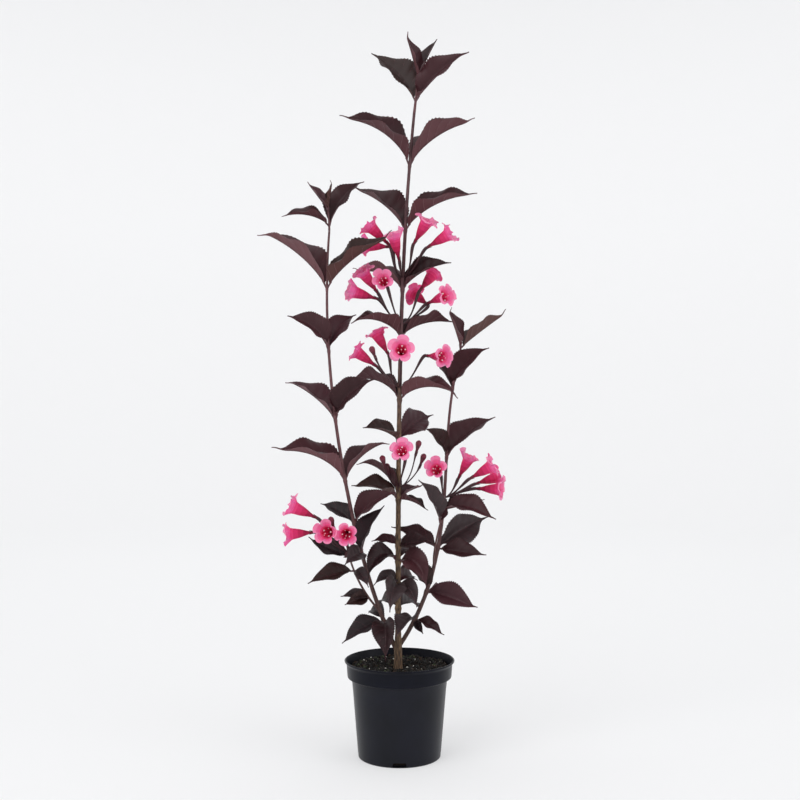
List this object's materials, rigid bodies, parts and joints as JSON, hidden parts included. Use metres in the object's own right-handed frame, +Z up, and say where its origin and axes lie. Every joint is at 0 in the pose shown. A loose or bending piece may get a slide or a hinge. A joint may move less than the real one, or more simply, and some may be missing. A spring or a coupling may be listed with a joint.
{
  "type": "potted flowering shrub",
  "caption": "Young weigela in a round nursery pot: upright stems with pairs of dark burgundy leaves and clusters of pink trumpet flowers",
  "frame": {"origin": "centre of the flat underside of the pot, which is ground level", "axes": "+Z up along the main stem, -Y the front, X across the spread of the side stems"},
  "size_m": [0.2777, 0.1267, 0.785],
  "materials": {
    "pot": "satin",
    "potting_mix": "matte",
    "bark": "matte",
    "young_stem": "satin",
    "foliage": "satin",
    "blossom": "satin"
  },
  "bodies": {
    "root": {"pot": "pot", "potting_mix": "potting_mix", "main_stem": "bark", "left_stem": "young_stem", "right_stem": "young_stem", "main_leaves_1": "foliage", "main_leaves_2": "foliage", "main_leaves_3": "foliage", "main_leaves_4": "foliage", "main_leaves_5": "foliage", "main_flowers_5": "blossom", "main_leaves_6": "foliage", "main_leaves_7": "foliage", "main_flowers_7": "blossom", "main_leaves_8": "foliage", "main_flowers_8": "blossom", "main_leaves_9": "foliage", "main_flowers_9": "blossom", "main_leaves_10": "foliage", "main_leaves_11": "foliage", "left_leaves_1": "foliage", "left_leaves_2": "foliage", "left_leaves_3": "foliage", "left_leaves_4": "foliage", "left_leaves_5": "foliage", "left_leaves_6": "foliage", "right_leaves_1": "foliage", "right_leaves_2": "foliage", "right_leaves_3": "foliage", "right_leaves_4": "foliage", "right_flowers_4": "blossom", "right_leaves_5": "foliage", "right_leaves_6": "foliage", "main_tip": "foliage", "left_tip": "foliage", "right_tip": "foliage", "left_low_shoot": "foliage", "left_low_flowers": "blossom", "left_leafy_shoot": "foliage", "right_leafy_shoot": "foliage"}
  },
  "joints": []
}
